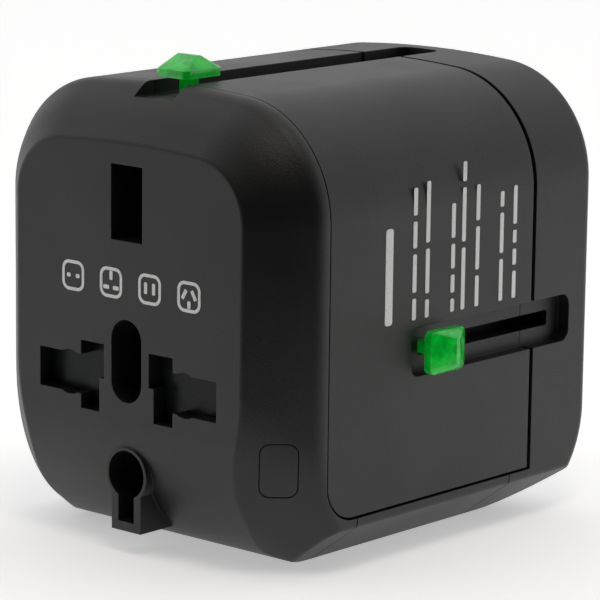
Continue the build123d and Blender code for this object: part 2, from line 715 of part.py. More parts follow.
# ================================================================ plug outlets
def bow_tie(x, z, swing):
    """Opening swept by a flat blade that turns from upright to the angled setting."""
    shape = Pos(x, z) * Rectangle(US_BLADE[0] + 2 * OUTLET_PLAY, US_BLADE[1] + 2 * OUTLET_PLAY)
    for step in range(1, SWING_STEPS + 1):
        angle = swing * step / SWING_STEPS
        turned = Rectangle(US_BLADE[0] + 2 * OUTLET_PLAY, US_BLADE[1] + 2 * OUTLET_PLAY, rotation=angle)
        shape = shape + Pos(x, z) * turned
    return shape


def plug_outlets():
    line = Pos(UK_PIN_X, LINE_Z) * Rectangle(UK_PIN[0] + 2 * OUTLET_PLAY, UK_PIN[1] + 2 * OUTLET_PLAY)
    line = line + Pos(EU_PIN_X, EU_PIN_Z) * Circle(EU_PIN_R + OUTLET_PLAY)
    line = line + bow_tie(US_BLADE_X, US_BLADE_Z, US_TWIST)
    earth = Rectangle(UK_EARTH_PIN[0] + 2 * OUTLET_PLAY, UK_EARTH_PIN[1] + 2 * OUTLET_PLAY)
    shape = line + mirror(line, about=Plane.YZ) + Pos(0, PLUG_EARTH_Z) * earth
    return prism_y(shape, REAR - OUTLET_REACH, REAR + OVERRUN)


# ================================================================ socket side
def socket_block():
    y0, y1 = BLOCK_Y
    core = block((-BLOCK_HALF_W, BLOCK_HALF_W), (y0, y1), BLOCK_Z)
    tower = block((-TOWER_HALF_W, TOWER_HALF_W), (y0, y1), (BLOCK_Z[1] - OVERRUN, TOWER_TOP_Z))
    spine = block((-SPINE_HALF_W, SPINE_HALF_W), (SPINE_FRONT_Y, y0 + OVERRUN), (BLOCK_Z[0], TOWER_TOP_Z))
    ears = block(EAR_X, (y0, EAR_BACK_Y), (BLOCK_Z[1] - OVERRUN, SHUTTER_SEAT_Z + EAR_OVER))
    body = core + tower + spine + ears + mirror_x(ears)
    spring_z = (LINE_Z - SPRING_ROOM_DROP, SHUTTER_SEAT_Z)
    spring_room = block(SPRING_ROOM_X, (y0 - OVERRUN, SPRING_ROOM_Y), spring_z)
    line_room = block(*LINE_ROOM)
    mouth = prism_y(line_opening(), y0 - OVERRUN, MOUTH_END_Y)
    tail_slot = block(TAIL_SLOT_X, (TAIL_SLOT_Y, y1 + OVERRUN), TAIL_SLOT_Z)
    boss_room = rod_y(BOSS_X, BOSS_Z, *BOSS_ROOM)
    screw_room = rod_y(BOSS_X, BOSS_Z, *SCREW_ROOM) + rod_y(BOSS_X, BOSS_Z, *SCREW_HEAD_ROOM)
    half = spring_room + line_room + mouth + tail_slot + boss_room + screw_room
    body = body - half - mirror_x(half)
    body = body + block(*LATCH_SEAT)
    middle, radius, length = SCREW_SHANK
    for x, y in FRONT_SCREWS:
        body = body - Pos(x, y, middle) * Cylinder(radius, length)
    wells = prism_y(oval_opening() + keyhole_opening() + earth_opening(), WELL_START_Y, WELL_END_Y)
    body = body - wells
    return (body - release_room()) & INSIDE


def shutter():
    """Right-hand shutter: plate over the opening and a lug for its spring."""
    plate = block(SHUTTER_X, SHUTTER_Y, SHUTTER_Z)
    lug_z = (SHUTTER_Z[1] - LUG_H, SHUTTER_Z[1])
    near = SHUTTER_X[1] - LUG_OVER
    lug = block((near, LUG_X), SHUTTER_Y, lug_z)
    arm = block((LUG_ARM_X, LUG_X), (SHUTTER_Y[0], LUG_BACK_Y), lug_z)
    post = block((near, SHUTTER_X[1] + POST_OVER), SHUTTER_Y, (SHUTTER_Z[0] + POST_RISE, SHUTTER_Z[1]))
    return plate + lug + arm + post


def shutter_spring():
    length = SHUTTER_SEAT_Z - SHUTTER_Z[1]
    coil = helix_spring(*SMALL_COIL, length, SHUTTER_TURNS)
    return Pos(SHUTTER_SPRING_X, SHUTTER_SPRING_Y, SHUTTER_Z[1]) * coil


def line_contact():
    """Spring clip of one pole: base plate, two leaves and a tail out of the block's back."""
    leaves = block(*CONTACT_UPPER) + block(*CONTACT_LOWER) + block(*CONTACT_INNER)
    return block(*CONTACT_BASE) + leaves + block(*CONTACT_TAIL)


def case_screws():
    screws = Part()
    head_z, head_r, head_h = SCREW_HEAD
    shank_z, shank_r, shank_h = SCREW_SHANK
    drive_z, long, wide, deep = SCREW_DRIVE
    for x, y in FRONT_SCREWS + REAR_SCREWS:
        head = Pos(x, y, head_z) * Cylinder(head_r, head_h)
        shank = Pos(x, y, shank_z) * Cylinder(shank_r, shank_h)
        drive = Pos(x, y, drive_z) * (Box(long, wide, deep) + Box(wide, long, deep))
        screws = screws + (head + shank - drive)
    return screws


def block_screws():
    screw = rod_y(BOSS_X, BOSS_Z, *BLOCK_SCREW_HEAD) + rod_y(BOSS_X, BOSS_Z, *BLOCK_SCREW_SHANK)
    return screw + mirror_x(screw)


# ================================================================ inner frame and current path
def guide_frame():
    tails = block(*FRAME_TAILS)
    head_room = rod_y(BOSS_X, BOSS_Z, *FRAME_HEAD_ROOM)
    plate = block(*FRAME_PLATE) - tails - mirror_x(tails) - head_room - mirror_x(head_room)
    fuse_room = rod_y(FUSE_X, FUSE_Z, FUSE_R + CRADLE_PLAY, CRADLE_Y[0] - OVERRUN, CRADLE_Y[1] + OVERRUN)
    cradle = rod_y(FUSE_X, FUSE_Z, FUSE_R + CRADLE_WALL, *CRADLE_Y) - fuse_room
    cradle = cradle & block((-FAR, FAR), (-FAR, FAR), (0, FUSE_Z))
    post = block(*CRADLE_POST) - fuse_room
    half = block(*FRAME_WALL) + block(*FRAME_SHELF)
    frame = plate + half + mirror_x(half) + block(*FRAME_MIDDLE) + cradle + post
    frame = frame - block(*STRAP_ROOM) - block(*LINK_ROOM) - block(*REAR_ROOM)
    frame = (frame - block(*ARM_SLOT) - block(*FOOT_SLOT)) + block(*FRAME_FLOOR)
    boss_z, boss_r, boss_h = FRAME_BOSS
    bore_z, bore_r, bore_h = FRAME_BORE
    for x, y in REAR_SCREWS:
        frame = frame + Pos(x, y, boss_z) * Cylinder(boss_r, boss_h)
        frame = frame - Pos(x, y, bore_z) * Cylinder(bore_r, bore_h)
    return frame & INSIDE


def strip_pair():
    """Upper and lower contact strips of one pole, on the right."""
    low = block(STRIP_X, STRIP_Y, LOW_STRIP_Z)
    high = block(STRIP_X, STRIP_Y, HIGH_STRIP_Z)
    return low + high


def neutral_busbar():
    riser = block((RISER_X, STRIP_X[1]), RISER_Y, RISER_Z)
    link = block(STRIP_X, LINK_Y, (LOW_STRIP_Z[0], HIGH_STRIP_Z[1]))
    return strip_pair() + riser + link


def live_strap():
    foot = block((-STRIP_X[1], -RISER_X), RISER_Y, RISER_Z)
    riser = block((-STRIP_X[1], -STRIP_X[0]), RISER_Y, (RISER_Z[0], STRAP_TOP_Z))
    return foot + riser


def live_busbar():
    bars = mirror_x(strip_pair())
    link = block((-STRIP_X[1], -STRIP_X[0]), (LIVE_LINK_Y, STRIP_Y[1]), (LOW_STRIP_Z[0], HIGH_STRIP_Z[1]))
    return (bars + link) - block((-FAR, 0), (-FAR, LIVE_START_Y), (0, FAR))


def fuse_clip(y0, y1):
    """Springy cradle round one end cap of the fuse."""
    cup = rod_y(FUSE_X, FUSE_Z, FUSE_R + CLIP_WALL, y0, y1)
    cup = cup - rod_y(FUSE_X, FUSE_Z, FUSE_R, y0 - OVERRUN, y1 + OVERRUN)
    return cup & block((-FAR, FAR), (-FAR, FAR), (0, FUSE_Z + CLIP_RISE))


def fuse_clip_front():
    foot = block(*FRONT_CLIP_FOOT) - rod_y(FUSE_X, FUSE_Z, FUSE_R, -FAR, FAR)
    return fuse_clip(*FRONT_CLIP_Y) + foot


def fuse_clip_rear():
    foot = block(*REAR_CLIP_FOOT) - rod_y(FUSE_X, FUSE_Z, FUSE_R, -FAR, FAR)
    return fuse_clip(*REAR_CLIP_Y) + foot


def fuse_caps():
    y0, y1 = FUSE_Y
    front = rod_y(FUSE_X, FUSE_Z, FUSE_R, y0, y0 + FUSE_CAP_LONG)
    rear = rod_y(FUSE_X, FUSE_Z, FUSE_R, y1 - FUSE_CAP_LONG, y1)
    return (front + rear) - rod_y(FUSE_X, FUSE_Z, FUSE_R - FUSE_CAP_T, y0 + FUSE_END_T, y1 - FUSE_END_T)


def fuse_tube():
    tube = rod_y(FUSE_X, FUSE_Z, FUSE_R - FUSE_CAP_T, FUSE_Y[0] + FUSE_END_T, FUSE_Y[1] - FUSE_END_T)
    return tube - rod_y(FUSE_X, FUSE_Z, FUSE_BORE_R, -FAR, FAR)


def fuse_wire():
    return rod_y(FUSE_X, FUSE_Z, FUSE_WIRE_R, FUSE_Y[0] + FUSE_END_T, FUSE_Y[1] - FUSE_END_T)


# ================================================================ slider buttons
def button_cap():
    """Gem-shaped thumb cap on the XY plane: base band, hip roof, ridge across X."""
    outline = rounded(CAP_LONG, CAP_WIDE, CAP_CORNER_R)
    band = extrude(outline, amount=CAP_BAND)
    base = Pos(0, 0, CAP_BAND) * outline
    ridge = Pos(0, 0, CAP_H) * rounded(CAP_RIDGE_W, CAP_RIDGE, CAP_RIDGE_R)
    roof = loft([base.face(), ridge.face()], ruled=True)
    cap = band + roof
    lower = cap.edges().filter_by_position(Axis.Z, -SNAP, SNAP)
    return fillet(lower, CAP_EDGE_R)


def stem(length):
    """Stem under the cap, long way along X."""
    return Pos(0, 0, -length / 2 + STEM_BITE) * Box(STEM_LONG, STEM_W, length + 2 * STEM_BITE)


def top_button():
    piece = button_cap() + stem(TOP_STEM_H)
    place = Plane(origin=(0, TOP_BUTTON_Y, HEIGHT + TOP_CAP_LIFT), x_dir=(0, 1, 0), z_dir=(0, 0, 1))
    return place * piece


def right_button():
    piece = button_cap() + stem(SIDE_STEM_H)
    place = Plane(origin=(HALF_W + CAP_LIFT, SIDE_BUTTON_Y, SIDE_SLOT_Z), x_dir=(0, 1, 0), z_dir=(1, 0, 0))
    return place * piece


# ================================================================ European plug
def eu_carriage():
    half = block(*EU_LEG) + block(*EU_RIB)
    body = block(*EU_BAR) + half + mirror_x(half)
    for side in (-1, 1):
        body = body - rod_y(side * EU_PIN_X, EU_PIN_Z, EU_PIN_R, EU_ROOT_Y, REAR)
    return (body - top_button()) & INSIDE


def eu_pin(side):
    x = side * EU_PIN_X
    sleeve_end = EU_FACE_Y + EU_SLEEVE_LONG
    tip = rod_y(x, EU_PIN_Z, EU_PIN_R, sleeve_end, EU_TIP_Y)
    tip = fillet(tip.edges().filter_by_position(Axis.Y, EU_TIP_Y - SNAP, EU_TIP_Y + SNAP), EU_NOSE_R)
    neck = rod_y(x, EU_PIN_Z, EU_NECK_R, EU_FACE_Y - OVERRUN / 2, sleeve_end + OVERRUN / 2)
    return tip + neck + rod_y(x, EU_PIN_Z, EU_PIN_R, EU_ROOT_Y, EU_FACE_Y)


def eu_sleeves():
    tube = rod_y(EU_PIN_X, EU_PIN_Z, EU_PIN_R, EU_FACE_Y, EU_FACE_Y + EU_SLEEVE_LONG)
    tube = tube - rod_y(EU_PIN_X, EU_PIN_Z, EU_NECK_R, -FAR, FAR)
    return Part() + tube + mirror_x(tube)


def wiper(x0, y0, y1, z0, z1):
    """Flat spring blade that bears on a contact strip."""
    tip = STRIP_X[0] - WIPER_GAP
    pad = block((tip - WIPER_T[0], tip), (y0, y1), (z0, z1))
    arm = block((x0, tip), (y0, y0 + WIPER_T[1]), (z0, z1))
    return pad + arm


def eu_wipers():
    piece = wiper(*EU_WIPER)
    return piece + mirror_x(piece)


# ================================================================ British plug
def uk_carriage():
    body = block(*UK_WINGS) + block(*UK_LIP_LOW) + block(*UK_LIP_TOP)
    body = body + block(*UK_NECK) + block(*UK_NECK_RIB) + block(*UK_ARM)
    for side in (-1, 1):
        outline = Pos(side * UK_PIN_X, LINE_Z) * Rectangle(*UK_PIN)
        body = body - prism_y(outline, UK_ROOT_Y, PIN_ROOM_REACH)
    body = body - prism_y(Pos(0, PLUG_EARTH_Z) * Rectangle(*UK_EARTH_PIN), UK_ROOT_Y, PIN_ROOM_REACH)
    return body - mirror_x(right_button())


def uk_line_pin(side):
    tip_y = REAR + UK_PIN_OUT - SHORT_TRAVEL
    sleeve_end = UK_FACE_Y + UK_SLEEVE_LONG
    w, h = UK_PIN
    root = prism_y(Rectangle(w, h), UK_ROOT_Y, UK_FACE_Y)
    core = Rectangle(w - 2 * UK_SLEEVE_T, h - 2 * UK_SLEEVE_T)
    neck = prism_y(core, UK_FACE_Y - OVERRUN / 2, sleeve_end + OVERRUN / 2)
    tip = prism_y(Rectangle(w, h), sleeve_end, tip_y)
    nose = tip.edges().filter_by_position(Axis.Y, tip_y - SNAP, tip_y + SNAP)
    return Pos(side * UK_PIN_X, 0, LINE_Z) * (root + neck + chamfer(nose, UK_NOSE))


def uk_sleeves():
    w, h = UK_PIN
    tube = ring(Rectangle(w, h), Rectangle(w - 2 * UK_SLEEVE_T, h - 2 * UK_SLEEVE_T))
    tube = Pos(UK_PIN_X, 0, LINE_Z) * prism_y(tube, UK_FACE_Y, UK_FACE_Y + UK_SLEEVE_LONG)
    return Part() + tube + mirror_x(tube)


def uk_earth_pin():
    tip_y = REAR + UK_EARTH_OUT - SHORT_TRAVEL
    pin = prism_y(Rectangle(*UK_EARTH_PIN), UK_ROOT_Y, tip_y)
    nose = pin.edges().filter_by_position(Axis.Y, tip_y - SNAP, tip_y + SNAP)
    return Pos(0, 0, PLUG_EARTH_Z) * chamfer(nose, UK_NOSE)


def uk_wipers():
    piece = wiper(*UK_WIPER)
    return piece + mirror_x(piece)


# ================================================================ American and Australian plug
def us_carriage():
    body = block(*US_CORE) + block(*US_FOOT) + block(*US_RISER)
    for side in (-1, 1):
        bore = rod_y(side * US_BLADE_X, US_BLADE_Z, COLLAR_R + US_COLLAR_PLAY, US_BORE_Y, PIN_ROOM_REACH)
        body = body - bore
    return body - right_button()


def us_collar(side):
    disc = rod_y(side * US_BLADE_X, US_BLADE_Z, COLLAR_R, US_COLLAR_Y, US_FACE_Y)
    outline = Pos(side * US_BLADE_X, US_BLADE_Z) * Rectangle(*US_BLADE)
    return disc - prism_y(outline, US_ROOT_Y, PIN_ROOM_REACH)


def us_blade(side):
    tip_y = REAR + US_BLADE_OUT - SHORT_TRAVEL
    blade = prism_y(Rectangle(*US_BLADE), US_ROOT_Y, tip_y)
    nose = blade.edges().filter_by_position(Axis.Y, tip_y - SNAP, tip_y + SNAP)
    return Pos(side * US_BLADE_X, 0, US_BLADE_Z) * chamfer(nose, US_NOSE)


def us_wipers():
    piece = wiper(*US_WIPER)
    return piece + mirror_x(piece)


# ================================================================ release button
def release_button():
    place = release_frame()
    w, h = RELEASE_SIZE
    grow_h, grow_w = FLANGE_GROW
    nub_r, nub_h, nub_bite = NUB
    cap = extrude(place.offset(-OVERRUN) * rounded(h, w, RELEASE_R), amount=OVERRUN + RELEASE_BACK) & OUTER
    foot = rounded(h + grow_h, w + grow_w, FLANGE_R)
    flange = extrude(place.offset(OVERRUN) * foot, amount=RELEASE_BACK - OVERRUN) & INSIDE
    nub = extrude(place.offset(RELEASE_BACK - nub_bite) * Circle(nub_r), amount=nub_h)
    return cap + flange + nub


def release_room():
    """Pocket in the socket block that the pressed button and its spring move into."""
    place = release_frame().offset(OVERRUN)
    w, h = RELEASE_SIZE
    outline = rounded(h + POCKET_GROW[0], w + POCKET_GROW[1], OVERRUN)
    pocket = extrude(place * outline, amount=RELEASE_BACK + POCKET_REACH)
    well_r, well_reach = SPRING_WELL
    return pocket + extrude(place * Circle(well_r), amount=RELEASE_BACK + well_reach)


def release_spring():
    return release_frame().offset(RELEASE_BACK) * helix_spring(*RELEASE_COIL)


def latch_bar():
    return block(*LATCH_BAR) + block(*LATCH_FOOT) + block(*LATCH_HOOK)


def latch_spring():
    coil = helix_spring(*SMALL_COIL, LATCH_LOW_Z - LATCH_SEAT_Z, LATCH_TURNS)
    return Pos(*LATCH_SPRING_XY, LATCH_SEAT_Z) * coil


# ================================================================ build and write
PARTS = {
    "front_cover": front_cover(),
    "upper_shell": upper_shell(),
    "bottom_cover": bottom_cover(),
    "rear_shell": rear_shell(),
    "case_screws": case_screws(),
    "block_screws": block_screws(),
    "socket_block": socket_block(),
    "shutter_left": mirror_x(shutter()),
    "shutter_right": shutter(),
    "shutter_spring_left": mirror_x(shutter_spring()),
    "shutter_spring_right": shutter_spring(),
    "live_contact": mirror_x(line_contact()),
    "neutral_contact": line_contact(),
    "live_strap": live_strap(),
    "live_busbar": live_busbar(),
    "neutral_busbar": neutral_busbar(),
    "fuse_tube": fuse_tube(),
    "fuse_caps": fuse_caps(),
    "fuse_wire": fuse_wire(),
    "fuse_clip_front": fuse_clip_front(),
    "fuse_clip_rear": fuse_clip_rear(),
    "guide_frame": guide_frame(),
    "eu_carriage": eu_carriage(),
    "eu_button": top_button(),
    "eu_pin_left": eu_pin(-1),
    "eu_pin_right": eu_pin(1),
    "eu_sleeves": eu_sleeves(),
    "eu_wipers": eu_wipers(),
    "uk_carriage": uk_carriage(),
    "uk_button": mirror_x(right_button()),
    "uk_live_pin": uk_line_pin(-1),
    "uk_neutral_pin": uk_line_pin(1),
    "uk_earth_pin": uk_earth_pin(),
    "uk_sleeves": uk_sleeves(),
    "uk_wipers": uk_wipers(),
    "us_carriage": us_carriage(),
    "us_button": right_button(),
    "us_blade_left": us_blade(-1),
    "us_blade_right": us_blade(1),
    "us_collar_left": us_collar(-1),
    "us_collar_right": us_collar(1),
    "us_wipers": us_wipers(),
    "release_button": release_button(),
    "release_spring": release_spring(),
    "latch_bar": latch_bar(),
    "latch_spring": latch_spring(),
}

os.makedirs("parts", exist_ok=True)
for name, solid in PARTS.items():
    export_step(solid, f"parts/{name}.step")
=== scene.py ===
import json
from math import cos, radians, sin

import bpy
from mathutils import Matrix, Vector


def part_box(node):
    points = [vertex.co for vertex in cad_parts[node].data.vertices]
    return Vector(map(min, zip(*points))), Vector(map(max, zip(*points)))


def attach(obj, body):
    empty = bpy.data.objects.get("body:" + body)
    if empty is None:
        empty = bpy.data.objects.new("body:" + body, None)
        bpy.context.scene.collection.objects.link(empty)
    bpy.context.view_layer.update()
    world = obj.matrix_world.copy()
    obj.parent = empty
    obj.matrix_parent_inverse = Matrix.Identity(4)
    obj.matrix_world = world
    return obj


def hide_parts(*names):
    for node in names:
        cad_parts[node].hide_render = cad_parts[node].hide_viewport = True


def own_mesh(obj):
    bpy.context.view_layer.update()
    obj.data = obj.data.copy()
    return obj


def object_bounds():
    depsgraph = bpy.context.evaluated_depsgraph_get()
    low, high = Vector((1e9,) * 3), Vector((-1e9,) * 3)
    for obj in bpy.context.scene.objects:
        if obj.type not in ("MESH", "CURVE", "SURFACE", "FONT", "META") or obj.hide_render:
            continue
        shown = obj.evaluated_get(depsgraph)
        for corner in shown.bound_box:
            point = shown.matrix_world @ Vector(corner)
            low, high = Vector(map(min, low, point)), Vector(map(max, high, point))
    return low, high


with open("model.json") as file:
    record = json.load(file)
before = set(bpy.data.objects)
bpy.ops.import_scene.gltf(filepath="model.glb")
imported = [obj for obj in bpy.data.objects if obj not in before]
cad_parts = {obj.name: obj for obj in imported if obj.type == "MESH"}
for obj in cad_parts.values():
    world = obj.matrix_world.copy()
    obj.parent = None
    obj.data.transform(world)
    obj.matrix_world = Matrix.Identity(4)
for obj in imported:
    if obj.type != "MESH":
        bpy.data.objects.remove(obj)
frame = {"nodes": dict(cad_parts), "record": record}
NODES = frame["nodes"]
CAD_LOW, CAD_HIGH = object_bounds()

MM = 0.001
EASE_SAMPLES = 4
SHARP_EDGE = 0.25
HAIR = 0.05 * MM
WELD = 0.002 * MM
BODY_OF_PRINT = "housing"


# ================================================================ shader maths
class Value:
    """A number that varies over a surface: arithmetic on it adds Math nodes."""

    def __init__(self, finish, socket):
        self.finish = finish
        self.socket = socket

    def math(self, operation, *operands):
        return self.finish.node("Math", {"operation": operation}, *operands)

    def __add__(self, other):
        return self.math("ADD", self, other)

    def __rsub__(self, other):
        return self.math("SUBTRACT", other, self)

    def __mul__(self, other):
        return self.math("MULTIPLY", self, other)

    __radd__ = __add__
    __rmul__ = __mul__

    def spread(self, low, high, to_low=0.0, to_high=1.0):
        """This value's stretch from low to high, mapped smoothly to another stretch."""
        settings = {"interpolation_type": "SMOOTHSTEP"}
        return self.finish.node("MapRange", settings, self, low, high, to_low, to_high)


class Finish:
    """One material: a Principled shader, with the nodes that drive it."""

    def __init__(self, name, colour, roughness, metallic=0.0):
        self.material = bpy.data.materials.new(name)
        self.material.use_nodes = True
        self.tree = self.material.node_tree
        self.shader = self.tree.nodes["Principled BSDF"]
        self.place = None
        self.set("Base Color", colour)
        self.set("Roughness", roughness)
        self.set("Metallic", metallic)

    def node(self, kind, settings, *values, output=0, **named):
        """Any node: its settings first, then its sockets by place or by name."""
        made = self.tree.nodes.new("ShaderNode" + kind)
        for key, setting in settings.items():
            setattr(made, key, setting)
        sockets = list(zip(made.inputs, values))
        sockets += [(made.inputs[key.replace("_", " ")], value) for key, value in named.items()]
        for socket, value in sockets:
            self.feed(socket, value)
        return Value(self, made.outputs[output])

    def feed(self, socket, value):
        if isinstance(value, Value):
            self.tree.links.new(value.socket, socket)
        elif isinstance(value, tuple) and len(value) == 3 and len(socket.default_value) == 4:
            socket.default_value = (*value, 1.0)
        else:
            socket.default_value = value

    def set(self, socket, value):
        self.feed(self.shader.inputs[socket], value)

    def here(self):
        """The point on the surface, in the object's own frame."""
        if self.place is None:
            self.place = self.node("TexCoord", {}, output=3)
        return self.place

    def noise(self, size_mm, detail=2.0, roughness=0.5, stretch=(1, 1, 1)):
        """Smooth random pattern from 0 to 1, its patches about size_mm across."""
        scale = tuple(s / (size_mm * MM) for s in stretch)
        where = self.node("Mapping", {}, self.here(), Scale=scale)
        return self.node("TexNoise", {}, Vector=where, Scale=1.0, Detail=detail, Roughness=roughness)

    def cells(self, size_mm):
        """Distance to the nearest of scattered points, as a pebbled grain."""
        where = self.node("Mapping", {}, self.here(), Scale=(1 / (size_mm * MM),) * 3)
        return self.node("TexVoronoi", {}, Vector=where, Scale=1.0)

    def blend(self, factor, first, second):
        """Colour between two colours."""
        mix = self.tree.nodes.new("ShaderNodeMix")
        mix.data_type = "RGBA"
        self.feed(mix.inputs[0], factor)
        self.feed(mix.inputs[6], first)
        self.feed(mix.inputs[7], second)
        return Value(self, mix.outputs[2])

    def edge(self, radius_mm):
        """1 on sharp edges and 0 on flat areas."""
        eased = self.node("Bevel", {"samples": EASE_SAMPLES}, radius_mm * MM)
        plain = self.node("NewGeometry", {}, output=1)
        match = self.node("VectorMath", {"operation": "DOT_PRODUCT"}, eased, plain, output=1)
        return (1 - match).spread(0.0, SHARP_EDGE)

    def relief(self, height, depth_mm, strength=1.0, eased_mm=0.0):
        """Grain that the light catches, on edges eased by eased_mm."""
        bump = self.node("Bump", {}, Strength=strength, Distance=depth_mm * MM, Height=height)
        if eased_mm:
            eased = self.node("Bevel", {"samples": EASE_SAMPLES}, eased_mm * MM)
            self.feed(bump.socket.node.inputs["Normal"], eased)
        self.set("Normal", bump)


# ================================================================ finishes
def grained_casing(name, colour):
    """Spark-textured charcoal casing plastic, paler where edges have rubbed."""
    fleck = (0.012, 0.0115, 0.0115)
    rubbed = (0.06, 0.058, 0.056)
    made = Finish(name, colour, 0.4)
    grain = made.cells(0.19) * 0.55 + made.noise(0.13, 3.0, 0.65) * 0.8
    cloud = made.noise(14.0, 3.0, 0.55)
    worn = made.edge(0.2) * made.noise(1.6, 3.0, 0.6).spread(0.35, 0.7)
    shade = made.blend(cloud.spread(0.3, 0.7), colour, tuple(c * 1.25 for c in colour))
    shade = made.blend(grain.spread(0.45, 0.95) * 0.5, shade, fleck)
    made.set("Base Color", made.blend(worn * 0.3, shade, rubbed))
    made.set("Roughness", cloud.spread(0.2, 0.8, 0.36, 0.44) + grain * 0.06)
    made.relief(grain, 0.032, 0.9, eased_mm=0.18)
    return made.material


def moulded_nylon(name, colour, roughness):
    """Dark inner plastic with faint flow lines."""
    made = Finish(name, colour, roughness)
    flow = made.noise(3.0, 3.0, 0.6, stretch=(1, 0.25, 1))
    made.set("Base Color", made.blend(flow.spread(0.3, 0.75), colour, tuple(c * 1.6 for c in colour)))
    made.set("Roughness", flow.spread(0.2, 0.8, roughness - 0.06, roughness + 0.08))
    made.relief(made.noise(0.3, 2.0, 0.5) + made.noise(2.5, 1.0, 0.5) * 0.4, 0.012, 0.4)
    return made.material


def tinted_button(name):
    """See-through green plastic, swirled deep and bright green, with a painted highlight along its edges
    and a faint painted glow, brightest at the edges.
    """
    deep = (0.0, 0.42, 0.03)
    bright = (0.0, 0.8, 0.06)
    painted_rim_highlight = (0.08, 0.95, 0.2)
    painted_glow = (0.0, 0.5, 0.03)
    painted_rim_glow = (0.02, 0.9, 0.1)
    made = Finish(name, bright, 0.16)
    swirl = made.noise(1.4, 2.0, 0.55)
    # Painted highlight: sharp edges get a paler, brighter green that stands in for light caught along
    # them.
    rim_light_mask = made.edge(0.45)
    body = made.blend(swirl.spread(0.3, 0.7), deep, bright)
    made.set("Base Color", made.blend(rim_light_mask, body, painted_rim_highlight))
    made.set("Roughness", swirl.spread(0.2, 0.8, 0.12, 0.22))
    made.set("Subsurface Weight", 0.15)
    made.set("Subsurface Radius", (0.1, 1.0, 0.15))
    made.set("Subsurface Scale", 0.0015)
    made.set("Transmission Weight", 0.12)
    made.set("IOR", 1.49)
    # Painted glow: the button emits a faint green light, brighter along its edges, though it is no lamp.
    made.set("Emission Color", made.blend(rim_light_mask, painted_glow, painted_rim_glow))
    made.set("Emission Strength", 0.12)
    made.set("Coat Weight", 0.3)
    made.set("Coat Roughness", 0.08)
    made.relief(made.noise(0.5, 2.0, 0.5), 0.012, 0.4)
    return made.material


def drawn_metal(name, colour, roughness, dull, along):
    """Metal with fine lines along its length and a patchy film."""
    made = Finish(name, colour, roughness, metallic=1.0)
    stretch = tuple(0.06 if axis == along else 1.0 for axis in "XYZ")
    lines = made.noise(0.12, 3.0, 0.65, stretch=stretch)
    film = made.noise(2.2, 3.0, 0.6)
    made.set("Base Color", made.blend(film.spread(0.4, 0.75), colour, dull))
    made.set("Roughness", film.spread(0.3, 0.7, roughness - 0.05, roughness + 0.12) + lines * 0.08)
    made.relief(lines, 0.006, 0.35)
    return made.material


def pad_print(name):
    """White pad-printed ink, slightly thin in places."""
    full = (0.84, 0.84, 0.84)
    faint = (0.55, 0.55, 0.55)
    made = Finish(name, full, 0.5)
    thin = made.noise(0.35, 3.0, 0.65)
    made.set("Base Color", made.blend(thin.spread(0.55, 0.8), full, faint))
    made.set("Roughness", thin.spread(0.3, 0.7, 0.42, 0.6))
    made.relief(thin, 0.01, 0.3)
    return made.material


def clear_glass(name):
    """Thin glass tube with faint streaks."""
    made = Finish(name, (0.93, 0.96, 0.95), 0.04)
    streak = made.noise(1.5, 2.0, 0.5)
    made.set("Roughness", streak.spread(0.3, 0.7, 0.02, 0.08))
    made.set("Transmission Weight", 1.0)
    made.set("IOR", 1.5)
    made.relief(streak, 0.005, 0.2)
    return made.material


def shutter_gloss(name):
    """Near-black shutter plastic with a slight green cast."""
    dark = (0.004, 0.007, 0.006)
    pale = (0.012, 0.017, 0.015)
    made = Finish(name, dark, 0.3)
    flow = made.noise(2.4, 3.0, 0.6)
    made.set("Base Color", made.blend(flow, dark, pale))
    made.set("Roughness", flow.spread(0.3, 0.7, 0.22, 0.34))
    made.set("Specular IOR Level", 0.16)
    made.relief(made.noise(0.8, 2.0, 0.5), 0.02, 0.5)
    return made.material


CASING = grained_casing("charcoal_casing", (0.0042, 0.0042, 0.0046))
FINISHES = {
    "casing_black": CASING,
    "inner_black": moulded_nylon("black_nylon", (0.008, 0.008, 0.0085), 0.42),
    "sleeve_black": moulded_nylon("pin_sleeve", (0.01, 0.01, 0.011), 0.3),
    "button_green": tinted_button("green_button"),
    "shutter_green_grey": shutter_gloss("shutter_plate"),
    "contact_brass": drawn_metal("stamped_brass", (0.72, 0.5, 0.2), 0.3, (0.45, 0.3, 0.13), "Y"),
    "plated_metal": drawn_metal("nickel_plate", (0.66, 0.64, 0.6), 0.2, (0.5, 0.47, 0.42), "Y"),
    "screw_steel": drawn_metal("zinc_steel", (0.5, 0.5, 0.52), 0.32, (0.3, 0.3, 0.32), "Z"),
    "spring_steel": drawn_metal("spring_wire", (0.55, 0.55, 0.57), 0.28, (0.3, 0.29, 0.28), "X"),
    "fuse_glass": clear_glass("fuse_glass"),
}
PRINT = pad_print("white_ink")


def dress(piece, material):
    """Give a piece its one material."""
    piece.data.materials.clear()
    piece.data.materials.append(material)


for part in frame["record"]["subparts"]:
    dress(NODES[part["node"]], FINISHES[part["material_slot"]])


# ================================================================ modelling by operators
def clear_selection():
    """Nothing selected, so that the next primitive stands alone."""
    bpy.ops.object.select_all(action="DESELECT")


def only(piece):
    """This piece alone selected and active."""
    clear_selection()
    piece.select_set(True)
    bpy.context.view_layer.objects.active = piece


def take(name):
    """The primitive just made, under its name."""
    piece = bpy.context.object
    piece.name = name
    piece.data.name = name
    return piece


def settle(piece):
    """Put the object at the origin, its place kept in its mesh."""
    only(piece)
    bpy.ops.object.transform_apply(location=True, rotation=True, scale=True)
    return piece


def pick_faces(piece, test):
    """Select the faces whose middle and normal pass a test, in edit mode."""
    bpy.ops.mesh.select_mode(type="FACE")
    bpy.ops.mesh.select_all(action="DESELECT")
    bpy.ops.object.mode_set(mode="OBJECT")
    for face in piece.data.polygons:
        face.select = test(face.center, face.normal)
    bpy.ops.object.mode_set(mode="EDIT")


